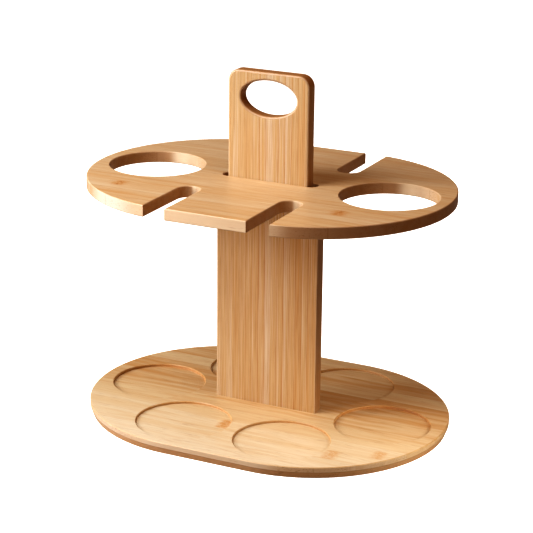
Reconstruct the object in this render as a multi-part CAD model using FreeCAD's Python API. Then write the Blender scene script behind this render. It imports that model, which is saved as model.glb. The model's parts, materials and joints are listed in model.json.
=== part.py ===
import FreeCAD, Part
import math
import os

# Carrier in bamboo board: a base, a shelf and one upright that ends in a hand grip.
# The upright stands on the base and is screwed to it from below. The shelf slides down
# over the handle and rests on the upright's two shoulders. Each end of the base has a
# deep round seat under a round hole in the shelf, and four shallower seats lie under
# slots that run in from the shelf's long edges.
#
# Millimetres. X runs along the boards, Y from front to back, and Z up. The origin is the
# middle of the base's underside. The carrier is the same left and right, front and back.

# What it carries
BOTTLE_RADIUS = 37.5
BOTTLE_HOLE_CLEARANCE = 4.25
BOTTLE_SEAT_CLEARANCE = 3.75
GLASS_SEAT_RADIUS = 41.0
STEM_SLOT_WIDTH = 20.0

# Layout of the boards: every seat keeps the same width of wood around it
SEAT_WEB = 11.3
GLASS_ROW_Y = 69.7
STEM_SLOT_REACH = 10.0
SHELF_END_RIM = 10.5
SHELF_SETBACK = 2.7

# Boards
BASE_THICK = 10.0
SHELF_THICK = 10.0
BASE_LAND = 4.7
BASE_UNDERCUT = 2.0
BOTTLE_SEAT_DEPTH = 2.5
GLASS_SEAT_DEPTH = 2.0
EDGE_BREAK = 0.6

# Upright and handle
UPRIGHT_THICK = 12.0
UPRIGHT_WIDTH = 96.0
UPRIGHT_EDGE_ROUND = 1.0
SHELF_CLEAR_HEIGHT = 193.0
HANDLE_WIDTH = 75.2
HANDLE_RISE = 93.0
HANDLE_CORNER_RADIUS = 10.0
HANDLE_EDGE_ROUND = 2.0
GRIP_HOLE_WIDTH = 51.6
GRIP_HOLE_HEIGHT = 30.6
GRIP_WALL = 7.0

# Slot in the shelf for the handle: its cutter leaves a round end past each side
HANDLE_SIDE_FIT = 0.2
HANDLE_END_FIT = 0.3

# Countersunk screws, driven up through the base into the upright's end
SCREW_SPACING = 60.0
SCREW_LENGTH = 35.0
SCREW_HEAD_RADIUS = 4.0
SCREW_SHANK_RADIUS = 2.0
SCREW_RIM = 0.3
SCREW_TIP = 4.0
SCREW_SINK = 0.4
SCREW_FIT = 0.05

# Worked out from the sizes above
BOTTLE_HOLE_RADIUS = BOTTLE_RADIUS + BOTTLE_HOLE_CLEARANCE
BOTTLE_SEAT_RADIUS = BOTTLE_RADIUS + BOTTLE_SEAT_CLEARANCE
GLASS_X = GLASS_SEAT_RADIUS + SEAT_WEB / 2
SEAT_PITCH = BOTTLE_SEAT_RADIUS + SEAT_WEB + GLASS_SEAT_RADIUS
BOTTLE_X = GLASS_X + math.sqrt(SEAT_PITCH ** 2 - GLASS_ROW_Y ** 2)
BASE_HALF_DEPTH = GLASS_ROW_Y + GLASS_SEAT_RADIUS + SEAT_WEB
BASE_HALF_LENGTH = BOTTLE_X + BOTTLE_SEAT_RADIUS + SEAT_WEB
SHELF_HALF_DEPTH = BASE_HALF_DEPTH - SHELF_SETBACK
SHELF_HALF_LENGTH = BOTTLE_X + BOTTLE_HOLE_RADIUS + SHELF_END_RIM
SHOULDER_Z = BASE_THICK + SHELF_CLEAR_HEIGHT
SHELF_TOP_Z = SHOULDER_Z + SHELF_THICK
HANDLE_TOP_Z = SHELF_TOP_Z + HANDLE_RISE
GRIP_Z = HANDLE_TOP_Z - GRIP_WALL - GRIP_HOLE_HEIGHT / 2

TOUCH = 0.001
UP = FreeCAD.Vector(0, 0, 1)


def stadium_wire(half_length, half_depth, z):
    """Outline with two straight sides and two half-round ends."""
    straight = half_length - half_depth
    front_left = FreeCAD.Vector(-straight, -half_depth, z)
    front_right = FreeCAD.Vector(straight, -half_depth, z)
    back_right = FreeCAD.Vector(straight, half_depth, z)
    back_left = FreeCAD.Vector(-straight, half_depth, z)
    right_end = FreeCAD.Vector(half_length, 0, z)
    left_end = FreeCAD.Vector(-half_length, 0, z)
    return Part.Wire([
        Part.LineSegment(front_left, front_right).toShape(),
        Part.Arc(front_right, right_end, back_right).toShape(),
        Part.LineSegment(back_right, back_left).toShape(),
        Part.Arc(back_left, left_end, front_left).toShape(),
    ])


def stadium_slab(half_length, half_depth, low, high):
    face = Part.Face(stadium_wire(half_length, half_depth, low))
    return face.extrude(UP * (high - low))


def disc(x, y, radius, low, high):
    return Part.makeCylinder(radius, high - low, FreeCAD.Vector(x, y, low), UP)


def round_edges(solid, radius, chosen):
    """Round the edges for which chosen(box of the edge) is true."""
    edges = [edge for edge in solid.Edges if chosen(edge.BoundBox)]
    return solid.makeFillet(radius, edges)


def break_level_edges(solid, size, heights):
    """Take the sharpness off every edge that lies flat at one of the heights."""
    def is_level(box):
        flat = box.ZLength < TOUCH
        return flat and any(abs(box.ZMin - height) < TOUCH for height in heights)

    return solid.makeChamfer(size, [edge for edge in solid.Edges if is_level(edge.BoundBox)])


def glass_places():
    return [(side * GLASS_X, row * GLASS_ROW_Y) for side in (-1, 1) for row in (-1, 1)]


def bottle_places():
    return [(side * BOTTLE_X, 0) for side in (-1, 1)]


def screw_places():
    return [(side * SCREW_SPACING / 2, 0) for side in (-1, 1)]


def screw_body(x, y, growth):
    """Head, shank and point as one turned shape, grown by a fit where it cuts a hole."""
    head = SCREW_HEAD_RADIUS + growth
    shank = SCREW_SHANK_RADIUS + growth
    cone = SCREW_HEAD_RADIUS - SCREW_SHANK_RADIUS
    rim_z = SCREW_SINK + SCREW_RIM
    neck_z = rim_z + cone
    tip_z = SCREW_SINK + SCREW_LENGTH
    profile = Part.makePolygon([
        FreeCAD.Vector(x, y, SCREW_SINK),
        FreeCAD.Vector(x + head, y, SCREW_SINK),
        FreeCAD.Vector(x + head, y, rim_z),
        FreeCAD.Vector(x + shank, y, neck_z),
        FreeCAD.Vector(x + shank, y, tip_z - SCREW_TIP),
        FreeCAD.Vector(x, y, tip_z + growth),
        FreeCAD.Vector(x, y, SCREW_SINK),
    ])
    return Part.Face(profile).revolve(FreeCAD.Vector(x, y, 0), UP, 360)


def screw_hole(x, y):
    """The screw's own space, with the mouth that its head is sunk through."""
    mouth = disc(x, y, SCREW_HEAD_RADIUS + SCREW_FIT, -TOUCH, SCREW_SINK + TOUCH)
    return screw_body(x, y, SCREW_FIT).fuse(mouth)


def base_board():
    """Board with seats sunk in its top, and a lower edge that tapers in to the underside."""
    waist = BASE_THICK - BASE_LAND
    foot = stadium_wire(BASE_HALF_LENGTH - BASE_UNDERCUT, BASE_HALF_DEPTH - BASE_UNDERCUT, 0)
    rim = stadium_wire(BASE_HALF_LENGTH, BASE_HALF_DEPTH, waist)
    taper = Part.makeLoft([foot, rim], True, True)
    land = stadium_slab(BASE_HALF_LENGTH, BASE_HALF_DEPTH, waist, BASE_THICK)
    board = taper.fuse(land).removeSplitter()
    for x, y in bottle_places():
        floor = BASE_THICK - BOTTLE_SEAT_DEPTH
        board = board.cut(disc(x, y, BOTTLE_SEAT_RADIUS, floor, BASE_THICK))
    for x, y in glass_places():
        floor = BASE_THICK - GLASS_SEAT_DEPTH
        board = board.cut(disc(x, y, GLASS_SEAT_RADIUS, floor, BASE_THICK))
    board = break_level_edges(board, EDGE_BREAK, [BASE_THICK])
    for x, y in screw_places():
        board = board.cut(screw_hole(x, y))
    return board


def stem_slot(x, row):
    """Straight slot, open at the board's edge, with a round inner end."""
    half_width = STEM_SLOT_WIDTH / 2
    end_y = row * (GLASS_ROW_Y - STEM_SLOT_REACH)
    mouth_y = row * (SHELF_HALF_DEPTH + half_width)
    lane = Part.makeBox(
        STEM_SLOT_WIDTH, abs(mouth_y - end_y), SHELF_THICK,
        FreeCAD.Vector(x - half_width, min(mouth_y, end_y), SHOULDER_Z))
    return lane.fuse(disc(x, end_y, half_width, SHOULDER_Z, SHELF_TOP_Z))


def shelf_board():
    """Board with two bottle holes, four stem slots and the slot for the handle."""
    board = stadium_slab(SHELF_HALF_LENGTH, SHELF_HALF_DEPTH, SHOULDER_Z, SHELF_TOP_Z)
    for x, y in bottle_places():
        board = board.cut(disc(x, y, BOTTLE_HOLE_RADIUS, SHOULDER_Z, SHELF_TOP_Z))
    for x, y in glass_places():
        board = board.cut(stem_slot(x, math.copysign(1, y)))
    slot_half_depth = UPRIGHT_THICK / 2 + HANDLE_SIDE_FIT
    slot_half_length = HANDLE_WIDTH / 2 + HANDLE_END_FIT + slot_half_depth
    board = board.cut(stadium_slab(slot_half_length, slot_half_depth, SHOULDER_Z, SHELF_TOP_Z))
    return break_level_edges(board, EDGE_BREAK, [SHOULDER_Z, SHELF_TOP_Z])


def upright_outline(y):
    """Wide post with square shoulders, and a narrower handle with rounded top corners."""
    post = UPRIGHT_WIDTH / 2
    grip = HANDLE_WIDTH / 2
    radius = HANDLE_CORNER_RADIUS
    bend = radius * (1 - math.sqrt(0.5))

    def point(x, z):
        return FreeCAD.Vector(x, y, z)

    def line(start, end):
        return Part.LineSegment(point(*start), point(*end)).toShape()

    def arc(start, middle, end):
        return Part.Arc(point(*start), point(*middle), point(*end)).toShape()

    top = HANDLE_TOP_Z
    return Part.Wire([
        line((-post, BASE_THICK), (post, BASE_THICK)),
        line((post, BASE_THICK), (post, SHOULDER_Z)),
        line((post, SHOULDER_Z), (grip, SHOULDER_Z)),
        line((grip, SHOULDER_Z), (grip, top - radius)),
        arc((grip, top - radius), (grip - bend, top - bend), (grip - radius, top)),
        line((grip - radius, top), (radius - grip, top)),
        arc((radius - grip, top), (bend - grip, top - bend), (-grip, top - radius)),
        line((-grip, top - radius), (-grip, SHOULDER_Z)),
        line((-grip, SHOULDER_Z), (-post, SHOULDER_Z)),
        line((-post, SHOULDER_Z), (-post, BASE_THICK)),
    ])


def grip_hole():
    """Oval hand hole through the handle."""
    long_side = FreeCAD.Vector(GRIP_HOLE_WIDTH / 2, -UPRIGHT_THICK / 2, GRIP_Z)
    short_side = FreeCAD.Vector(0, -UPRIGHT_THICK / 2, GRIP_Z + GRIP_HOLE_HEIGHT / 2)
    centre = FreeCAD.Vector(0, -UPRIGHT_THICK / 2, GRIP_Z)
    oval = Part.Ellipse(long_side, short_side, centre).toShape()
    return Part.Face(Part.Wire([oval])).extrude(FreeCAD.Vector(0, UPRIGHT_THICK, 0))


def upright_board():
    face = Part.Face(upright_outline(-UPRIGHT_THICK / 2))
    board = face.extrude(FreeCAD.Vector(0, UPRIGHT_THICK, 0)).cut(grip_hole())

    def on_a_face(box):
        return box.YLength < TOUCH

    def on_the_handle(box):
        return on_a_face(box) and box.ZMax > SHOULDER_Z + TOUCH

    def on_the_post(box):
        return on_a_face(box) and box.XLength < TOUCH and box.ZMax < SHOULDER_Z + TOUCH

    board = round_edges(board, HANDLE_EDGE_ROUND, on_the_handle)
    board = round_edges(board, UPRIGHT_EDGE_ROUND, on_the_post)
    for x, y in screw_places():
        board = board.cut(screw_hole(x, y))
    return board


def base_screws():
    return Part.makeCompound([screw_body(x, y, 0) for x, y in screw_places()])


SUB_PARTS = {
    "base_board": base_board,
    "shelf_board": shelf_board,
    "upright_board": upright_board,
    "base_screws": base_screws,
}

os.makedirs("parts", exist_ok=True)
for node, make in SUB_PARTS.items():
    shape = make()
    shape.exportStep("parts/" + node + ".step")
    print(node, "valid", shape.isValid(), "solids", len(shape.Solids), "volume", round(shape.Volume, 1))
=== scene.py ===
import json
import math

import bmesh
import bpy
from mathutils import Matrix, Vector


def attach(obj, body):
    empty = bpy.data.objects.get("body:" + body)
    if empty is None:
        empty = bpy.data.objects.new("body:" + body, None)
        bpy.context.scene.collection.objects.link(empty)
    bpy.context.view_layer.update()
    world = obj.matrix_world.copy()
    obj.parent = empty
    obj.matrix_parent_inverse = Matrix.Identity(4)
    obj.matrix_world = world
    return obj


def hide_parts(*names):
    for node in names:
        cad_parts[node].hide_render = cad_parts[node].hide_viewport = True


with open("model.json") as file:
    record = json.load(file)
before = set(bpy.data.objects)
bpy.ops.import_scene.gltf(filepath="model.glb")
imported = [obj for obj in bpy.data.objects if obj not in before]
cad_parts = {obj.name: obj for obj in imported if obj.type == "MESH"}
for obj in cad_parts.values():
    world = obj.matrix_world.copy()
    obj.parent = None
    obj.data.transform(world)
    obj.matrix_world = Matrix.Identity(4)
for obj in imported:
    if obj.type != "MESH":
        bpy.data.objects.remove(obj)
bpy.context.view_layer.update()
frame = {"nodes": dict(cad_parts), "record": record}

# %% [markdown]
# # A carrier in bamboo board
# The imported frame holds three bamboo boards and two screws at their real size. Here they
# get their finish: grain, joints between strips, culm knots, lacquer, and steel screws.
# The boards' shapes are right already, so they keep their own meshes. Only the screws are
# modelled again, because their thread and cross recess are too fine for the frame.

MM = 0.001

# %% [markdown]
# ## The camera
# The view was worked out from the round rims, the seats and the long edges of the boards.
# A camera is easier to read as a place, two turns and a roll than as a matrix, so it is
# set up that way. A long lens keeps the boards' ends nearly parallel.

# %% Camera
CAMERA_PLACE = Vector((0.66094, -1.36696, 0.63453))
CAMERA_AZIMUTH = 25.90
CAMERA_ELEVATION = 18.20
CAMERA_ROLL = 0.611
LENS = 125.57
SENSOR = 36.0


def turn(degrees, axis):
    return Matrix.Rotation(math.radians(degrees), 4, axis)


def make_camera():
    data = bpy.data.cameras.new("camera")
    data.lens = LENS
    data.sensor_width = SENSOR
    camera = bpy.data.objects.new("camera", data)
    bpy.context.collection.objects.link(camera)
    facing = turn(CAMERA_AZIMUTH, "Z") @ turn(90 - CAMERA_ELEVATION, "X") @ turn(CAMERA_ROLL, "Z")
    camera.matrix_world = Matrix.Translation(CAMERA_PLACE) @ facing
    bpy.context.scene.camera = camera
    return camera


camera = make_camera()
print("camera", [round(value, 3) for value in camera.location], "lens", LENS)

# %% [markdown]
# ## Writing a material as short lines
# A shader is a graph, and a graph in code gets long. A few small helpers keep it readable:
# they link or set a socket, add a node, do a sum, read one coordinate, and mix colours.

# %% Shader helpers
def feed(tree, socket, value):
    """Link the socket to another one, or set it to a plain value."""
    if isinstance(value, bpy.types.NodeSocket):
        tree.links.new(value, socket)
    else:
        socket.default_value = value


def put(tree, kind, inputs=None, **settings):
    """Add a shader node with its settings and inputs."""
    node = tree.nodes.new("ShaderNode" + kind)
    for name, value in settings.items():
        setattr(node, name, value)
    for name, value in (inputs or {}).items():
        feed(tree, node.inputs[name], value)
    return node


def calc(tree, operation, *values):
    """Do a sum on numbers."""
    node = put(tree, "Math", operation=operation)
    for socket, value in zip(node.inputs, values):
        feed(tree, socket, value)
    return node.outputs[0]


def times(tree, first, second):
    return calc(tree, "MULTIPLY", first, second)


def vector_calc(tree, operation, first, second):
    """Do a sum on vectors."""
    return put(tree, "VectorMath", {0: first, 1: second}, operation=operation).outputs


def coordinate(tree, vector, letter):
    """The X, Y or Z of a vector."""
    return put(tree, "SeparateXYZ", {"Vector": vector}).outputs[letter]


def join(tree, **coordinates):
    """A vector from its coordinates. Those that are left out are 0."""
    return put(tree, "CombineXYZ", coordinates).outputs[0]


def stretch(tree, vector, scale):
    return put(tree, "Mapping", {"Vector": vector, "Scale": scale}).outputs[0]


# %% [markdown]
# A mask is a number from 0 to 1 that says where something shows. Nearly all of them come
# from a smooth step on a distance, a direction or a noise, and then mix one colour into
# another.

# %% Masks, noise and colour
def ease(tree, value, start, end, low=0.0, high=1.0):
    """Go smoothly from low to high while the value goes from start to end."""
    node = put(tree, "MapRange", interpolation_type="SMOOTHSTEP")
    for name, number in zip(("Value", "From Min", "From Max", "To Min", "To Max"),
                            (value, start, end, low, high)):
        feed(tree, node.inputs[name], number)
    return node.outputs["Result"]


def fade(tree, value, start, end):
    """Go smoothly from 1 down to 0."""
    return ease(tree, value, start, end, 1.0, 0.0)


def noise(tree, vector, detail, roughness=0.5):
    node = put(tree, "TexNoise", {"Vector": vector, "Scale": 1.0, "Detail": detail,
                                  "Roughness": roughness})
    return node.outputs[0]


def chance(tree, number):
    """One random value for each number, the same at each run."""
    return put(tree, "TexWhiteNoise", {"W": number}, noise_dimensions="1D").outputs["Value"]


def blend(tree, amount, first, second):
    """Mix two colours."""
    node = put(tree, "Mix", data_type="RGBA")
    for socket, value in zip((node.inputs[0], node.inputs[6], node.inputs[7]),
                             (amount, first, second)):
        feed(tree, socket, value)
    return node.outputs[2]


# %% [markdown]
# Effects that all three boards need are node groups, each built once. A group's inputs are
# its settings, and each board hands in its own.

# %% Node groups
def new_group(name, inputs, outputs):
    """A shader node group. Returns it with the sockets at its two ends."""
    group = bpy.data.node_groups.new(name, "ShaderNodeTree")
    for label, kind, start in inputs:
        socket = group.interface.new_socket(label, in_out="INPUT", socket_type="NodeSocket" + kind)
        if start is not None:
            socket.default_value = start
    for label, kind in outputs:
        group.interface.new_socket(label, in_out="OUTPUT", socket_type="NodeSocket" + kind)
    start_node = group.nodes.new("NodeGroupInput")
    end_node = group.nodes.new("NodeGroupOutput")
    return group, start_node.outputs, end_node.inputs


def use_group(tree, group, **inputs):
    """Place a group in a material. A space in an input's name is written as _."""
    node = tree.nodes.new("ShaderNodeGroup")
    node.node_tree = group
    for name, value in inputs.items():
        feed(tree, node.inputs[name.replace("_", " ")], value)
    return node.outputs


# %% [markdown]
# ## How a bamboo board is made
# A culm is split into strips, the strips are planed, laid side by side and glued. So the
# board is not one piece of wood: each strip has its own tone, and a thin dark glue joint
# parts it from the next. This group lays out the strips. It reads a place in millimetres,
# with X along the grain, Y across the strips and Z through the board. It gives the strip's
# number, its tone, how far across it the place is, and the joints, of which no two are
# equally dark.

# %% Strip layout
JOINT_EDGE = (0.05, 0.35)
FAINTEST_JOINT = 0.1
TONE_DRAW = 0.37


def make_strip_layout():
    group, given, wanted = new_group(
        "strip layout",
        [("Place", "Vector", None), ("Strip width", "Float", 6.0), ("Seed", "Float", 0.0)],
        [("Tone", "Float"), ("Joint", "Float"), ("Side", "Float"), ("Number", "Float")])
    across = coordinate(group, given["Place"], "Y")
    count = calc(group, "ADD", calc(group, "DIVIDE", across, given["Strip width"]), given["Seed"])
    number = calc(group, "FLOOR", count)
    side = calc(group, "SUBTRACT", count, number)
    from_middle = calc(group, "ABSOLUTE", calc(group, "SUBTRACT", side, 0.5))
    from_joint = times(group, calc(group, "SUBTRACT", 0.5, from_middle), given["Strip width"])
    joint_draw = chance(group, calc(group, "ROUND", count))
    darkness = ease(group, joint_draw, 0.0, 1.0, FAINTEST_JOINT, 1.0)
    feed(group, wanted["Tone"], chance(group, calc(group, "ADD", number, TONE_DRAW)))
    feed(group, wanted["Joint"], times(group, fade(group, from_joint, *JOINT_EDGE), darkness))
    feed(group, wanted["Side"], side)
    feed(group, wanted["Number"], number)
    return group


strip_layout = make_strip_layout()
print("group:", strip_layout.name, "nodes", len(strip_layout.nodes))

# %% [markdown]
# ## Fibres
# Bamboo has no year rings. Its look comes from bundles of fibre that run the length of
# the culm, packed close near the skin and loose near the hollow. Noise that is stretched
# a long way along the grain gives such bundles, and because it is solid noise, the same
# bundles come out as dots where a board's end cuts across them. Three sizes are needed:
# broad soft streaks, fine fibres and single dark bundles. Each strip reads the noise at a
# place of its own, because its neighbour comes from another part of the culm. A fibre never
# runs quite straight, so a slow noise first pushes the place a little to the side.

# %% Fibres
STRIP_STEP = {"X": 41.3, "Y": 7.7, "Z": 3.1}
DRIFT_REACH = 2.5
DRIFT_SCALE = (0.018, 0.06, 0.06)
STREAK_SCALE = (0.010, 0.28, 0.28)
FIBRE_SCALE = (0.03, 1.3, 1.3)
BUNDLE_SCALE = (0.07, 2.4, 2.4)
BUNDLE_LIMITS = (0.66, 0.56)
BUNDLE_EDGE = 0.10


def make_fibres():
    group, given, wanted = new_group(
        "fibres",
        [("Place", "Vector", None), ("Number", "Float", 0.0), ("Side", "Float", 0.5)],
        [("Streak", "Float"), ("Fibre", "Float"), ("Bundle", "Float")])
    own_shift = join(group, **{letter: times(group, given["Number"], step)
                               for letter, step in STRIP_STEP.items()})
    place = vector_calc(group, "ADD", given["Place"], own_shift)[0]
    slow = noise(group, stretch(group, place, DRIFT_SCALE), 1.0)
    drift = calc(group, "MULTIPLY_ADD", slow, 2 * DRIFT_REACH, -DRIFT_REACH)
    place = vector_calc(group, "ADD", place, join(group, Y=drift))[0]
    streak = noise(group, stretch(group, place, STREAK_SCALE), 3.0, 0.55)
    fibre = noise(group, stretch(group, place, FIBRE_SCALE), 3.0, 0.6)
    bundle = noise(group, stretch(group, place, BUNDLE_SCALE), 2.0, 0.5)
    limit = ease(group, given["Side"], 0.0, 1.0, *BUNDLE_LIMITS)
    past_limit = calc(group, "SUBTRACT", bundle, limit)
    feed(group, wanted["Streak"], ease(group, streak, 0.3, 0.7))
    feed(group, wanted["Fibre"], ease(group, fibre, 0.36, 0.64))
    feed(group, wanted["Bundle"], ease(group, past_limit, 0.0, BUNDLE_EDGE))
    return group


fibres = make_fibres()
print("group:", fibres.name, "nodes", len(fibres.nodes))

# %% [markdown]
# ## Knots
# Where the living culm had a joint, each strip has a knot: a short band across it, browner
# than the rest, with a ragged edge and small flecks. Culm joints are 200 to 400 mm apart,
# so a strip of this length has one or none. This group sets one knot at a given place. Its
# Flat value says how much of it is full strength before it fades, and its Core is the dark
# line in the middle.

# %% One knot
RAGGED_REACH = 4.0
RAGGED_SCALE = (0.22, 0.55, 0.1)
FLECK_SCALE = (0.35, 1.6, 0.3)
PALEST_FLECK = 0.15


def make_knot():
    group, given, wanted = new_group(
        "knot",
        [("Place", "Vector", None), ("Centre", "Vector", (0, 0, 0)),
         ("Length", "Float", 6.0), ("Width", "Float", 9.0), ("Flat", "Float", 0.1)],
        [("Mask", "Float"), ("Core", "Float")])
    away = vector_calc(group, "SUBTRACT", given["Place"], given["Centre"])[0]
    ragged = noise(group, stretch(group, given["Place"], RAGGED_SCALE), 3.0, 0.6)
    flecks = noise(group, stretch(group, given["Place"], FLECK_SCALE), 2.0, 0.6)
    push = calc(group, "MULTIPLY_ADD", ragged, 2 * RAGGED_REACH, -RAGGED_REACH)
    from_middle = calc(group, "ADD", coordinate(group, away, "X"), push)
    along = calc(group, "ABSOLUTE", calc(group, "DIVIDE", from_middle, given["Length"]))
    from_axis = calc(group, "DIVIDE", coordinate(group, away, "Y"), given["Width"])
    across = calc(group, "ABSOLUTE", from_axis)
    on_strip = fade(group, across, calc(group, "ADD", given["Flat"], 0.5), 1.05)
    band = times(group, fade(group, along, given["Flat"], 1.0), on_strip)
    line = times(group, fade(group, along, 0.0, 0.3), on_strip)
    flecked = ease(group, flecks, 0.36, 0.56, PALEST_FLECK, 1.0)
    feed(group, wanted["Mask"], times(group, band, flecked))
    feed(group, wanted["Core"], times(group, line, ease(group, flecks, 0.5, 0.65)))
    return group


knot = make_knot()
print("group:", knot.name, "nodes", len(knot.nodes))

# %% [markdown]
# A board is known by its knots, so the ones in view are placed one by one. The rest fall by
# chance: each strip is cut into lengths, starting at a random point, and a share of the
# lengths gets a knot at the middle. The group hands the knot a place of its own strip.

# %% Knots by chance
START_DRAW = 0.81
LENGTH_DRAW = 7.13
CHANCE_KNOT_LENGTH = 6.0
RAGGED_STEP = 5.0


def make_chance_knots():
    group, given, wanted = new_group(
        "knots by chance",
        [("Place", "Vector", None), ("Number", "Float", 0.0), ("Side", "Float", 0.5),
         ("Strip width", "Float", 6.0), ("Spacing", "Float", 300.0), ("Share", "Float", 0.5)],
        [("Mask", "Float"), ("Core", "Float")])
    lengths = calc(group, "DIVIDE", coordinate(group, given["Place"], "X"), given["Spacing"])
    start = chance(group, calc(group, "ADD", given["Number"], START_DRAW))
    count = calc(group, "ADD", lengths, start)
    number = calc(group, "FLOOR", count)
    from_knot = calc(group, "SUBTRACT", calc(group, "SUBTRACT", count, number), 0.5)
    from_middle = calc(group, "SUBTRACT", given["Side"], 0.5)
    here = join(group, X=times(group, from_knot, given["Spacing"]),
                Y=times(group, from_middle, given["Strip width"]),
                Z=times(group, given["Number"], RAGGED_STEP))
    draw = chance(group, calc(group, "ADD", times(group, number, LENGTH_DRAW), given["Number"]))
    present = calc(group, "LESS_THAN", draw, given["Share"])
    mark = use_group(group, knot, Place=here, Length=CHANCE_KNOT_LENGTH,
                     Width=times(group, given["Strip width"], 0.5))
    feed(group, wanted["Mask"], times(group, mark["Mask"], present))
    feed(group, wanted["Core"], times(group, mark["Core"], present))
    return group


chance_knots = make_chance_knots()
print("group:", chance_knots.name, "nodes", len(chance_knots.nodes))

# %% [markdown]
# ## Edges
# Along every edge a tone is painted. On the shelf and the upright it is a pale line, a painted
# highlight; on the base it is a darker tone that dims the chamfer's lit line, a painted shade.
# An edge is found in two ways: a rounded edge faces neither the way of the board's broad side
# nor of its rim, and at a sharp one the surface turns at once. For the second way a Bevel
# node rounds the normal within a small reach, and the mask shows where that differs from the
# face's own. The rounded normal also goes on to the shader, so that a sharp edge still
# catches a little light.

# %% Edge mask
OFF_THE_RIM = (0.35, 0.65)
OFF_THE_FACE = (0.95, 0.995)
SHARP_TURN = (0.80, 0.995)
SHARP_PART = 0.6


def make_edge_mask():
    group, given, wanted = new_group(
        "edge mask", [("Reach", "Float", 0.001), ("Facing", "Vector", None)],
        [("Edge", "Float"), ("Normal", "Vector")])
    rounded = put(group, "Bevel", {"Radius": given["Reach"]}, samples=6).outputs[0]
    flat = put(group, "NewGeometry").outputs["Normal"]
    likeness = vector_calc(group, "DOT_PRODUCT", rounded, flat)["Value"]
    upward = calc(group, "ABSOLUTE", coordinate(group, given["Facing"], "Z"))
    between = times(group, ease(group, upward, *OFF_THE_RIM), fade(group, upward, *OFF_THE_FACE))
    sharp = times(group, fade(group, likeness, *SHARP_TURN), SHARP_PART)
    feed(group, wanted["Edge"], calc(group, "MAXIMUM", between, sharp))
    feed(group, wanted["Normal"], rounded)
    return group


edge_mask = make_edge_mask()
print("group:", edge_mask.name, "nodes", len(edge_mask.nodes))

# %% [markdown]
# ## Milled seats
# The round seats in the base are cut by a router that circles outwards, and its tip leaves
# faint rings on the floor. The lacquer smooths them but they catch the light. The seats'
# places are read from the record, so that the rings stay in the middle of them. The group
# gives the rings, a mask of the seats' floors, and a wider one that takes in their walls.

# %% Rings on the seat floors
RING_SPACING = 2.2
BELOW_TOP = (8.4, 9.0)
ABOVE_BOTTOM = (6.0, 7.0)
FLOOR_RIM = (39.0, 40.5)
WALL_REACH = (42.5, 43.5)
FAR_AWAY = 1000.0


def make_milling_rings():
    group, given, wanted = new_group("milling rings", [("Place", "Vector", None)],
                                     [("Rings", "Float"), ("Mask", "Float"), ("Near", "Float")])
    height = coordinate(group, given["Place"], "Z")
    level = join(group, X=coordinate(group, given["Place"], "X"),
                 Y=coordinate(group, given["Place"], "Y"))
    nearest = FAR_AWAY
    for mount in frame["record"]["mounts"]:
        if "_seat_" in mount["name"]:
            centre = (mount["pos_m"][0] / MM, mount["pos_m"][1] / MM, 0)
            away = vector_calc(group, "DISTANCE", level, centre)["Value"]
            nearest = calc(group, "MINIMUM", away, nearest)
    rings = calc(group, "SINE", times(group, nearest, math.tau / RING_SPACING))
    sunk = times(group, fade(group, height, *BELOW_TOP), ease(group, height, *ABOVE_BOTTOM))
    mask = times(group, fade(group, nearest, *FLOOR_RIM), sunk)
    feed(group, wanted["Rings"], times(group, rings, mask))
    feed(group, wanted["Mask"], mask)
    feed(group, wanted["Near"], fade(group, nearest, *WALL_REACH))
    return group


milling_rings = make_milling_rings()
print("group:", milling_rings.name, "nodes", len(milling_rings.nodes))

# %% [markdown]
# ## The bamboo finishes
# The flat boards are laid from wide strips on their flat side, so they show broad soft
# streaks and clear knots. The upright is laid from narrow strips on edge, so it shows many
# fine upright lines. The same functions build all three from the shared groups, and each
# board hands in its own numbers, which are listed further down.
#
# The bare wood comes first. A level from pale to brown is added up from the tone of the
# strip, its streaks, and a painted shade that turns a board browner toward one side: the
# base toward the back and the upright toward the right. The level picks the colour, and
# the fine fibres are drawn over it.

# %% Bare wood
PALE = (0.70, 0.59, 0.44, 1)
HONEY = (0.65, 0.49, 0.31, 1)
AMBER = (0.565, 0.325, 0.135, 1)
TO_HONEY = (0.0, 0.6)
TO_AMBER = (0.5, 1.1)


def wood_colour(tree, place, strips, grain, board):
    start, end, amount = board["browner"]
    # Painted shade: the board turns browner toward one side.
    painted_shade = ease(tree, coordinate(tree, place, "Y"), start, end, 0.0, amount)
    level = calc(tree, "ADD", painted_shade, board["level"])
    level = calc(tree, "MULTIPLY_ADD", grain["Streak"], board["streak_part"], level)
    level = calc(tree, "MULTIPLY_ADD", strips["Tone"], board["strip_part"], level)
    colour = blend(tree, ease(tree, level, *TO_HONEY), board["pale"], board["honey"])
    colour = blend(tree, ease(tree, level, *TO_AMBER), colour, AMBER)
    fibre = times(tree, grain["Fibre"], board["fibre_part"])
    return blend(tree, fibre, colour, board["fibre_tone"])


print("wood tones, pale to brown:", PALE[:3], HONEY[:3], AMBER[:3])

# %% [markdown]
# The rim of a board shows the long sides of its strips at the front and the back, and their
# cut ends at the left and the right. Ends and slot walls drink more lacquer, so they come
# out darker. Faces that turn to the right get more of this dark tone than those that turn
# to the left, and that difference is painted shade, as the main light comes from the left.
# At the front, where the rim turns toward the left, a painted highlight makes it nearly
# white. All these places are told apart by the way that the surface faces.

# %% Sides and ends
END_BROWN = (0.37, 0.175, 0.06, 1)
END_GOLD = (0.60, 0.38, 0.17, 1)
EDGE_CREAM = (0.72, 0.615, 0.48, 1)
HIGHLIGHT_CREAM = (0.74, 0.66, 0.59, 1)
FACES_SIDEWAYS = (0.5, 0.95)
FACES_ENDWAYS = (0.05, 0.3)
LIT_LEFT_TO_SHADED_RIGHT = (-0.1, 0.1)
SLANT_ENDS = (-0.95, -0.8)
SLANT_STARTS = (-0.4, -0.15)
OUTERMOST = (-106.0, -84.0)


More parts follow.
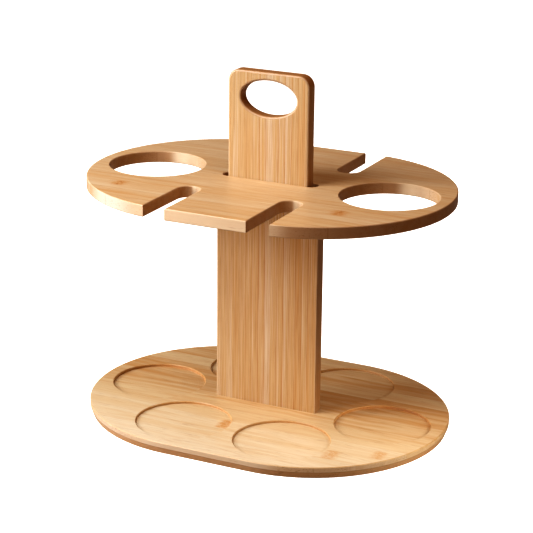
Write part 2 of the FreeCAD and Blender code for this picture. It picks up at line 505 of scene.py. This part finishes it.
def stain_rim_and_paint_light(tree, colour, place, facing, board):
    """Lay the rim's tones and its painted shade and highlight. Also returns the mask of the ends.
    """
    endways = coordinate(tree, facing, "X")
    sideways = calc(tree, "ABSOLUTE", coordinate(tree, facing, "Y"))
    side = times(tree, ease(tree, sideways, *FACES_SIDEWAYS), board["side_part"])
    colour = blend(tree, side, colour, board["side_tone"])
    end = ease(tree, calc(tree, "ABSOLUTE", endways), *FACES_ENDWAYS)
    # Faces turned to the right get more of the end tone: painted shade.
    part = ease(tree, endways, *LIT_LEFT_TO_SHADED_RIGHT, *board["end_and_shade_parts"])
    colour = blend(tree, times(tree, end, part), colour, board["end_tone"])
    # A painted highlight on the front of the rim where it turns to the left.
    slant = times(tree, fade(tree, endways, *SLANT_STARTS), ease(tree, endways, *SLANT_ENDS))
    outermost = ease(tree, coordinate(tree, place, "Y"), *OUTERMOST, board["painted_highlight_part"], 0.0)
    return blend(tree, times(tree, slant, outermost), colour, HIGHLIGHT_CREAM), end


print("end tones", END_BROWN[:3], END_GOLD[:3])

# %% [markdown]
# The knots are laid over the wood and its rim tones. Those placed one by one are in the upper
# layer of the board. Chance only fills the strips behind them, so that it adds none in their
# midst.

# %% Laying the knots
GLUE = (0.32, 0.15, 0.048, 1)
KNOT_BROWN = (0.52, 0.24, 0.06, 1)
CHANCE_KNOT_PART = 0.75


def add_knots(tree, colour, place, strips, upper, board):
    behind = calc(tree, "GREATER_THAN", strips["Number"], board["last_strip_by_hand"] + 0.5)
    by_chance = use_group(tree, chance_knots, Place=place, Number=strips["Number"],
                          Side=strips["Side"], Strip_width=board["strip"],
                          Spacing=board["knot_spacing"],
                          Share=times(tree, behind, board["knot_share"]))
    marks = [(by_chance, CHANCE_KNOT_PART)]
    for centre, length, width, part in board["knots"]:
        by_hand = use_group(tree, knot, Place=place, Centre=(*centre, 0), Length=length,
                            Width=width, Flat=board["knot_flat"])
        marks.append((by_hand, times(tree, upper, part)))
    for mark, part in marks:
        colour = blend(tree, times(tree, mark["Mask"], part), colour, board["knot_tone"])
        core = times(tree, mark["Core"], board["core_part"])
        colour = blend(tree, times(tree, core, part), colour, GLUE)
    return colour


print("glue", GLUE[:3], "knot", KNOT_BROWN[:3])

# %% [markdown]
# The base is glued up from two layers, of which the lower one is browner. Their joint lies
# where the upright part of the rim meets the taper, and the lower layer has strips of its
# own. The other boards have one layer, so their joint is set far below them. Last come the
# dark dots of the bundles, the glue joints and the knots.

# %% All of a board's colour
ORANGE = (0.66, 0.345, 0.125, 1)
ORANGE_PART = 0.55
LOWER_STRIPS = 13.43
LAYER_STEP = 0.05
LAYER_JOINT = (0.1, 0.45)
LAYER_JOINT_PART = 0.5
ONE_LAYER = -1000.0


def bamboo_colour(tree, place, facing, board):
    """The colour of a board. Also returns its strips and grain, for the bump."""
    height = coordinate(tree, place, "Z")
    lower = fade(tree, height, board["layer"] - LAYER_STEP, board["layer"] + LAYER_STEP)
    seed = calc(tree, "MULTIPLY_ADD", lower, LOWER_STRIPS, board["seed"])
    strips = use_group(tree, strip_layout, Place=place, Strip_width=board["strip"], Seed=seed)
    along, across = board["fineness"]
    finer = vector_calc(tree, "MULTIPLY", place, (along, across, across))[0]
    grain = use_group(tree, fibres, Place=finer, Number=strips["Number"], Side=strips["Side"])

    colour = wood_colour(tree, place, strips, grain, board)
    colour, end = stain_rim_and_paint_light(tree, colour, place, facing, board)
    colour = blend(tree, times(tree, lower, ORANGE_PART), colour, ORANGE)
    dots = times(tree, grain["Bundle"], ease(tree, end, 0.0, 1.0, *board["dot_parts"]))
    colour = blend(tree, dots, colour, GLUE)
    joints = times(tree, strips["Joint"], board["joint_part"])
    colour = blend(tree, joints, colour, board["joint_tone"])
    from_layer = calc(tree, "ABSOLUTE", calc(tree, "SUBTRACT", height, board["layer"]))
    layer_joint = ease(tree, from_layer, *LAYER_JOINT, LAYER_JOINT_PART, 0.0)
    colour = blend(tree, layer_joint, colour, GLUE)
    if board["knots"]:
        upper = calc(tree, "SUBTRACT", 1.0, lower)
        colour = add_knots(tree, colour, place, strips, upper, board)
    return colour, strips, grain


print("the lower layer is", ORANGE_PART, "of the way to", ORANGE[:3])

# %% [markdown]
# The satin lacquer is a thin clear coat over wood that is a little rough. The fibres give
# it a bump of a few hundredths of a millimetre, and the glue joints sink a little. The walls
# of the milled seats are painted browner: painted shade in the hollows.

# %% Bamboo material
EDGE_REACH = 0.6 * MM
BUMP_DEPTH = 0.02 * MM
SATIN = (0.40, 0.52)
RING_HEIGHT = 0.6
RING_ROUGHNESS = 0.06
SEAT_WALL_SHADE_PART = 0.45
WALL_TO_FLOOR = (0.3, 0.8)


def add_seats(tree, place, facing, colour, height, rough):
    """Add the rings on the floors of the seats and painted shade on the walls round them."""
    marks = use_group(tree, milling_rings, Place=place)
    height = calc(tree, "MULTIPLY_ADD", marks["Rings"], RING_HEIGHT, height)
    rough = calc(tree, "MULTIPLY_ADD", marks["Mask"], RING_ROUGHNESS, rough)
    upward = calc(tree, "ABSOLUTE", coordinate(tree, facing, "Z"))
    # Painted shade on the walls of the seats.
    wall_shade = ease(tree, upward, *WALL_TO_FLOOR, SEAT_WALL_SHADE_PART, 0.0)
    return blend(tree, times(tree, marks["Near"], wall_shade), colour, KNOT_BROWN), height, rough


def make_bamboo(name, board):
    material = bpy.data.materials.new(name)
    material.use_nodes = True
    tree = material.node_tree
    shader = tree.nodes["Principled BSDF"]
    own = put(tree, "TexCoord").outputs
    place = put(tree, "Mapping", {"Vector": own["Object"], "Rotation": board["grain_turn"],
                                  "Scale": (1 / MM,) * 3}).outputs[0]
    facing = put(tree, "Mapping", {"Vector": own["Normal"], "Rotation": board["grain_turn"]},
                 vector_type="NORMAL").outputs[0]
    colour, strips, grain = bamboo_colour(tree, place, facing, board)
    edges = use_group(tree, edge_mask, Reach=EDGE_REACH, Facing=facing)
    # Tone painted along the edges: painted highlight on shelf and upright, painted shade on the
    # base.
    edge = times(tree, edges["Edge"], board["painted_edge_part"])
    colour = blend(tree, edge, colour, board["painted_edge_tone"])

    sunk = calc(tree, "MULTIPLY_ADD", grain["Bundle"], 0.5, strips["Joint"])
    height = calc(tree, "SUBTRACT", times(tree, grain["Fibre"], 0.5), sunk)
    rough = ease(tree, grain["Fibre"], 0.0, 1.0, *SATIN)
    if board["rings"]:
        colour, height, rough = add_seats(tree, place, facing, colour, height, rough)
    bump = put(tree, "Bump", {"Height": height, "Normal": edges["Normal"], "Strength": 1.0,
                              "Distance": BUMP_DEPTH})
    feed(tree, shader.inputs["Base Color"], colour)
    feed(tree, shader.inputs["Roughness"], rough)
    feed(tree, shader.inputs["Normal"], bump.outputs[0])
    shader.inputs["Specular IOR Level"].default_value = 0.35
    shader.inputs["Coat Weight"].default_value = 0.2
    shader.inputs["Coat Roughness"].default_value = 0.25
    return material


print("lacquer roughness", SATIN, "bump in mm", round(BUMP_DEPTH / MM, 3))

# %% [markdown]
# ## The three boards
# Each board is described by its numbers. Lengths are in millimetres, and a part says how
# much of a tone is laid over what is there, from 0 to 1.
#
# - grain_turn turns the grain. The upright's brings Z onto X, because its strips stand.
# - strip and seed: the width of a strip, and where the first one starts.
# - layer: the height of the joint between two layers. rings: it has milled seats.
# - pale, honey and level: its two tones, and how far from pale to brown it starts.
# - browner: from where to where it turns browner along Y, and how much, as painted shade.
# - strip_part and streak_part: how much the strips and the streaks add to the level.
# - fineness: how close the fibres' noise is, along the grain and across it.
# - The end parts and dot_parts: two values each, for the left and right ends, and for the dots
#   on the long faces and on the ends. More at the right end than the left is painted shade.
# - knots: the centre, half length, half width and part of each knot that is listed, and
#   last_strip_by_hand is the last strip that they are in.

# %% The boards' numbers
FLAT_GRAIN = (0, 0, 0)
UPRIGHT_GRAIN = Matrix(((0, 0, 1), (1, 0, 0), (0, 1, 0))).to_euler()

FLAT_BOARD = dict(
    grain_turn=FLAT_GRAIN, strip=20.0, fibre_tone=AMBER, joint_tone=GLUE, dot_parts=(0.25, 0.5),
    knot_spacing=420.0, knot_share=0.4)

BOARDS = {
    "base_board": dict(
        FLAT_BOARD, seed=0.45, layer=5.3, rings=True,
        pale=(0.77, 0.695, 0.55, 1), honey=(0.70, 0.56, 0.365, 1), level=-0.08,
        browner=(-105, 40, 0.56), strip_part=0.25, streak_part=0.28,
        fineness=(1.0, 0.55), fibre_part=0.15, joint_part=0.30,
        side_tone=(0.62, 0.47, 0.34, 1), side_part=0.6, end_tone=END_GOLD, end_and_shade_parts=(0.15, 0.45),
        painted_highlight_part=0.2, painted_edge_tone=END_GOLD, painted_edge_part=0.4,
        knots=[((-13, -58), 8, 10, 0.85), ((96, -79), 9, 10, 0.55), ((132, -62), 8, 9, 0.55)],
        knot_tone=(0.58, 0.29, 0.08, 1), knot_flat=0.2, core_part=0.2, last_strip_by_hand=2),
    "shelf_board": dict(
        FLAT_BOARD, seed=7.2, layer=ONE_LAYER, rings=False,
        pale=PALE, honey=HONEY, level=0.08,
        browner=(0, 1, 0.0), strip_part=0.3, streak_part=0.45,
        fineness=(1.0, 0.7), fibre_part=0.28, joint_part=0.35,
        side_tone=EDGE_CREAM, side_part=0.7, end_tone=END_BROWN, end_and_shade_parts=(0.26, 0.66),
        painted_highlight_part=0.75, painted_edge_tone=EDGE_CREAM, painted_edge_part=0.3,
        knots=[((92, -64), 10, 9, 0.9), ((-107, -69), 9, 8, 0.9)],
        knot_tone=KNOT_BROWN, knot_flat=0.0, core_part=0.8, last_strip_by_hand=6),
    # The upright's sides get the dark end tone: painted shade on its right side and on the side
    # walls of its grip hole. Its ends are dark end grain, and the same tone on the top and bottom
    # walls of the grip hole is painted shade.
    "upright_board": dict(
        grain_turn=UPRIGHT_GRAIN, strip=5.9, seed=3.3, layer=ONE_LAYER, rings=False,
        pale=(0.68, 0.605, 0.495, 1), honey=(0.62, 0.485, 0.305, 1), level=-0.10,
        browner=(0, 38, 0.28), strip_part=0.38, streak_part=0.50,
        fineness=(0.5, 1.8), fibre_tone=(0.45, 0.255, 0.105, 1), fibre_part=0.62,
        joint_tone=(0.42, 0.18, 0.05, 1), joint_part=0.90, dot_parts=(0.5, 0.5),
        side_tone=END_BROWN, side_part=0.6, end_tone=END_BROWN, end_and_shade_parts=(0.75, 0.75),
        painted_highlight_part=0.0, painted_edge_tone=EDGE_CREAM, painted_edge_part=0.45, knots=[]),
}
for node, board in BOARDS.items():
    material = make_bamboo(node.replace("_board", " bamboo"), board)
    frame["nodes"][node].material_slots[0].material = material
    print(node, "wears", material.name, "with", len(material.node_tree.nodes), "nodes")

# %% [markdown]
# ## The screws
# Two countersunk wood screws come up through the base into the end of the upright. On a
# real screw the head is struck in a die, with a cross pressed into its face, and the thread
# is rolled onto the blank. The model follows that order: turn the blank, press the cross,
# then wind the thread.

# %% Turned blank
SCREW_PLACES = [-30.0, 30.0]
SCREW_BOTTOM = 0.4
SCREW_TOP = 35.4
HEAD_RADIUS = 4.0
CREST_RADIUS = 2.0
ROOT_RADIUS = 1.35
THREAD_START = 13.0
POINT_START = 31.4
HEAD_EDGE = 0.12
HEAD_BAND = 0.3
NECK_RADIUS = 1.9
NECK_BOTTOM = 2.8
NECK_STEP = 0.6
TIP_RADIUS = 0.12
TIP_LENGTH = 0.1
AROUND = 48


def turn_blank(shape):
    """Spin the outline of head, neck, core and point about the screw's axis."""
    outline = [(HEAD_RADIUS - HEAD_EDGE, SCREW_BOTTOM), (HEAD_RADIUS, SCREW_BOTTOM + HEAD_EDGE),
               (HEAD_RADIUS, SCREW_BOTTOM + HEAD_BAND), (NECK_RADIUS, NECK_BOTTOM),
               (NECK_RADIUS, THREAD_START - NECK_STEP), (ROOT_RADIUS, THREAD_START),
               (ROOT_RADIUS, POINT_START), (TIP_RADIUS, SCREW_TOP - TIP_LENGTH),
               (0.0, SCREW_TOP)]
    points = [shape.verts.new((radius, 0, height)) for radius, height in outline]
    edges = [shape.edges.new(pair) for pair in zip(points, points[1:])]
    bmesh.ops.spin(shape, geom=points + edges, cent=(0, 0, 0), axis=(0, 0, 1), angle=math.tau,
                   steps=AROUND, use_merge=True)
    bmesh.ops.remove_doubles(shape, verts=shape.verts, dist=0.001)
    return [edge for edge in shape.edges if edge.is_boundary]


blank = bmesh.new()
face_edges = turn_blank(blank)
print("blank:", len(blank.faces), "faces,", len(face_edges), "edges around the head's face")

# %% [markdown]
# The cross is cut as a plus-shaped loop in the head's face. It is joined to the round rim,
# then drawn up into the head and narrowed, the way the punch leaves it.

# %% Cross recess
ARM_LENGTH = 2.1
ARM_HALF_WIDTH = 0.42
RECESS_DEPTH = 1.7
RECESS_TAPER = 0.6


def add_cross_recess(shape, rim_edges):
    corners = [(ARM_LENGTH, -ARM_HALF_WIDTH), (ARM_LENGTH, ARM_HALF_WIDTH),
               (ARM_HALF_WIDTH, ARM_HALF_WIDTH)]
    loop = []
    for quarter in range(4):
        spin = Matrix.Rotation(quarter * math.pi / 2, 3, "Z")
        loop += [shape.verts.new(spin @ Vector((x, y, SCREW_BOTTOM))) for x, y in corners]
    mouth = [shape.edges.new((a, b)) for a, b in zip(loop, loop[1:] + loop[:1])]
    bmesh.ops.bridge_loops(shape, edges=rim_edges + mouth)
    drawn = bmesh.ops.extrude_edge_only(shape, edges=mouth)["geom"]
    floor_points = [part for part in drawn if isinstance(part, bmesh.types.BMVert)]
    for point in floor_points:
        point.co = Vector((point.co.x * RECESS_TAPER, point.co.y * RECESS_TAPER,
                           SCREW_BOTTOM + RECESS_DEPTH))
    floor_edges = [part for part in drawn if isinstance(part, bmesh.types.BMEdge)
                   and all(end in floor_points for end in part.verts)]
    bmesh.ops.edgeloop_fill(shape, edges=floor_edges)


add_cross_recess(blank, face_edges)
print("open edges left:", sum(edge.is_boundary for edge in blank.edges))

# %% [markdown]
# The thread is a small triangle that turns and climbs at once. At both ends its crest is
# pressed down to the core, as on a rolled thread that runs out.

# %% Thread
PITCH = 1.8
STEPS_PER_TURN = 24
FOOT_SINK = 0.15
FOOT_HALF = 0.42
THREAD_STOP = 1.2
CREST_LEAD = 0.5
CORE_STOP = 0.6


def wind_thread(shape):
    turns = (SCREW_TOP - THREAD_STOP - THREAD_START) / PITCH
    steps = round(turns * STEPS_PER_TURN)
    foot = ROOT_RADIUS - FOOT_SINK
    corners = ((foot, -FOOT_HALF), (CREST_RADIUS, 0.0), (foot, FOOT_HALF))
    start = [shape.verts.new((radius, 0, THREAD_START + rise)) for radius, rise in corners]
    edges = [shape.edges.new(pair) for pair in zip(start, start[1:] + start[:1])]
    wound = bmesh.ops.spin(shape, geom=start + edges, cent=(0, 0, 0), axis=(0, 0, 1),
                           dvec=(0, 0, PITCH / STEPS_PER_TURN),
                           angle=math.tau * steps / STEPS_PER_TURN, steps=steps)
    last = [part for part in wound["geom_last"] if isinstance(part, bmesh.types.BMEdge)]
    bmesh.ops.edgeloop_fill(shape, edges=edges)
    bmesh.ops.edgeloop_fill(shape, edges=last)
    point_length = SCREW_TOP - POINT_START
    for point in shape.verts:
        run_in = min(1.0, max(0.0, (point.co.z - THREAD_START + CREST_LEAD) / PITCH))
        run_out = min(1.0, max(0.0, (SCREW_TOP - CORE_STOP - point.co.z) / point_length))
        radius = math.hypot(point.co.x, point.co.y)
        wanted = foot * run_out + (radius - foot) * min(run_in, run_out)
        point.co.x, point.co.y = point.co.x * wanted / radius, point.co.y * wanted / radius
    bmesh.ops.recalc_face_normals(shape, faces=shape.faces)


thread = bmesh.new()
wind_thread(thread)
print("thread:", len(thread.faces), "faces")

# %% [markdown]
# One screw is finished, so it is copied to both places. The two copies are one piece, as
# they are one node in the frame. A full spin numbers its faces and edges in another order
# at each run, though the shape is the same. So they are put in the order of their points,
# and the list of faces comes out the same each time.

# %% Both screws
def add_copy(shape, source, offset):
    mesh = bpy.data.meshes.new("copy")
    source.to_mesh(mesh)
    mesh.transform(Matrix.Translation((offset, 0, 0)))
    shape.from_mesh(mesh)
    bpy.data.meshes.remove(mesh)


def put_in_order(shape):
    shape.verts.index_update()
    for parts in (shape.edges, shape.faces):
        ordered = sorted(parts, key=lambda part: sorted(point.index for point in part.verts))
        for number, part in enumerate(ordered):
            part.index = number
        parts.sort()


def make_screws():
    shape = bmesh.new()
    for offset in SCREW_PLACES:
        add_copy(shape, blank, offset)
        add_copy(shape, thread, offset)
    bmesh.ops.scale(shape, vec=(MM,) * 3, verts=shape.verts)
    bmesh.ops.recalc_face_normals(shape, faces=shape.faces)
    put_in_order(shape)
    mesh = bpy.data.meshes.new("wood screws")
    shape.to_mesh(mesh)
    shape.free()
    mesh.shade_smooth()
    mesh.set_sharp_from_angle(angle=math.radians(30))
    piece = bpy.data.objects.new("wood_screws", mesh)
    bpy.context.collection.objects.link(piece)
    return piece


screws = make_screws()
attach(screws, "root")
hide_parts("base_screws")

# %% [markdown]
# The screws are steel with a thin coat of zinc. Zinc is bluish and a little cloudy, because
# it crystallises in patches, so the roughness wanders and the colour barely does.

# %% Screw material
ZINC_DARK = (0.60, 0.62, 0.66, 1)
ZINC_LIGHT = (0.72, 0.73, 0.74, 1)


def make_zinc():
    material = bpy.data.materials.new("zinc plated steel")
    material.use_nodes = True
    tree = material.node_tree
    shader = tree.nodes["Principled BSDF"]
    place = stretch(tree, put(tree, "TexCoord").outputs["Object"], (1 / MM,) * 3)
    cloud = noise(tree, place, 3.0)
    feed(tree, shader.inputs["Base Color"], blend(tree, cloud, ZINC_DARK, ZINC_LIGHT))
    feed(tree, shader.inputs["Roughness"], ease(tree, cloud, 0.3, 0.7, 0.22, 0.42))
    shader.inputs["Metallic"].default_value = 1.0
    return material


screws.data.materials.append(make_zinc())

# %% [markdown]
# ## Floor and backdrop
# The floor is plain and white, and so is what lies behind it. In the studio both are lit so
# strongly that a camera shows them as pure white, while little of that light comes back to
# the object. So what the camera sees of them is bright, and what they throw on the object
# is dim.

# %% Floor
FLOOR_SINK = 0.2 * MM
FLOOR_SIZE = 6.0


def make_floor():
    mesh = bpy.data.meshes.new("floor")
    shape = bmesh.new()
    bmesh.ops.create_grid(shape, x_segments=4, y_segments=4, size=FLOOR_SIZE)
    shape.to_mesh(mesh)
    shape.free()
    floor = bpy.data.objects.new("floor", mesh)
    floor.location.z = -FLOOR_SINK
    bpy.context.collection.objects.link(floor)
    return floor


def make_floor_material(seen, given_back, glow):
    material = bpy.data.materials.new("white floor")
    material.use_nodes = True
    tree = material.node_tree
    shader = tree.nodes["Principled BSDF"]
    by_camera = put(tree, "LightPath").outputs["Is Camera Ray"]
    feed(tree, shader.inputs["Base Color"],
         blend(tree, by_camera, (given_back,) * 3 + (1,), (seen,) * 3 + (1,)))
    shader.inputs["Roughness"].default_value = 0.8
    shader.inputs["Specular IOR Level"].default_value = 0.1
    shader.inputs["Emission Color"].default_value = (1, 1, 1, 1)
    feed(tree, shader.inputs["Emission Strength"], calc(tree, "MULTIPLY", by_camera, glow))
    return material


floor = make_floor()
floor.data.materials.append(make_floor_material(seen=0.8, given_back=0.42, glow=0.66))
print("floor", [round(value, 2) for value in floor.dimensions], "m")

# %% [markdown]
# ## Light
# The main light is a soft box far to the left and low, so left edges shine and right sides
# fall into brown shade. A second one stands above and in front, for the tops. Two weak fills
# keep the right side and the back from going black, and as they are told to give no
# reflections, the lacquer shows only the main lights. Two small cards near the object lift
# what lies in shade: the post under the shelf, and the foot on the right. A light's strength
# is given as what it would throw on a surface that faces it, so that its distance can change
# without changing the exposure. None of them shows in the picture.

# %% Lights
WHITE = (1, 1, 1)
WARM = (1.0, 0.78, 0.58)
ORANGE_LIGHT = (1.0, 0.55, 0.26)


def make_light(name, azimuth, elevation, distance, size, strength, target=(0, 0, 0.12),
               spread=180.0, tint=WHITE, glossy=True):
    """A round soft box, placed by the way from the target: left of the front, and up."""
    outward = turn(-azimuth, "Z") @ turn(-elevation, "X") @ Vector((0, -1, 0))
    data = bpy.data.lights.new(name, "AREA")
    data.shape = "DISK"
    data.size = size
    data.energy = strength * (math.pi * distance) ** 2
    data.spread = math.radians(spread)
    data.color = tint
    light = bpy.data.objects.new(name, data)
    light.location = Vector(target) + outward * distance
    light.rotation_euler = (-outward).to_track_quat("-Z", "Y").to_euler()
    light.visible_camera = False
    light.visible_glossy = glossy
    bpy.context.collection.objects.link(light)
    print(name, [round(value, 2) for value in light.location], "m", round(data.energy, 2), "W")
    return light


key_light = make_light("key light", azimuth=60, elevation=20, distance=1.2, size=0.45,
                       strength=0.445)
top_light = make_light("top light", azimuth=40, elevation=46, distance=0.9, size=0.5,
                       strength=0.45)
right_fill = make_light("right fill", azimuth=-60, elevation=60, distance=1.0, size=0.6,
                        strength=0.17, tint=WARM, glossy=False)
back_fill = make_light("back fill", azimuth=178, elevation=4, distance=1.1, size=0.45,
                       strength=0.17, glossy=False)
post_card = make_light("post card", azimuth=25, elevation=-2, distance=0.45, size=0.25,
                       strength=0.013, target=(0, -0.01, 0.11), spread=40, tint=ORANGE_LIGHT)
foot_card = make_light("foot card", azimuth=-80, elevation=30, distance=0.26, size=0.15,
                       strength=0.055, target=(0.14, -0.02, 0.01), spread=44)

# %% [markdown]
# The camera sees a white surround. What the surround throws on the object is dim and warm,
# like light that has bounced off the wood and a warm room, so the shades stay brown.

# %% Surround and tone curve
def make_surround(seen, given, strength):
    world = bpy.data.worlds.new("surround")
    bpy.context.scene.world = world
    world.use_nodes = True
    tree = world.node_tree
    background = tree.nodes["Background"]
    by_camera = put(tree, "LightPath").outputs["Is Camera Ray"]
    feed(tree, background.inputs["Color"], blend(tree, by_camera, given, seen))
    feed(tree, background.inputs["Strength"], ease(tree, by_camera, 0.0, 1.0, strength, 1.0))
    return world


surround = make_surround(seen=(1, 1, 1, 1), given=(1.0, 0.58, 0.36, 1), strength=0.12)
view = bpy.context.scene.view_settings
view.view_transform = "Standard"
view.look = "Very High Contrast"
print("surround:", surround.name, "tone curve:", view.look)
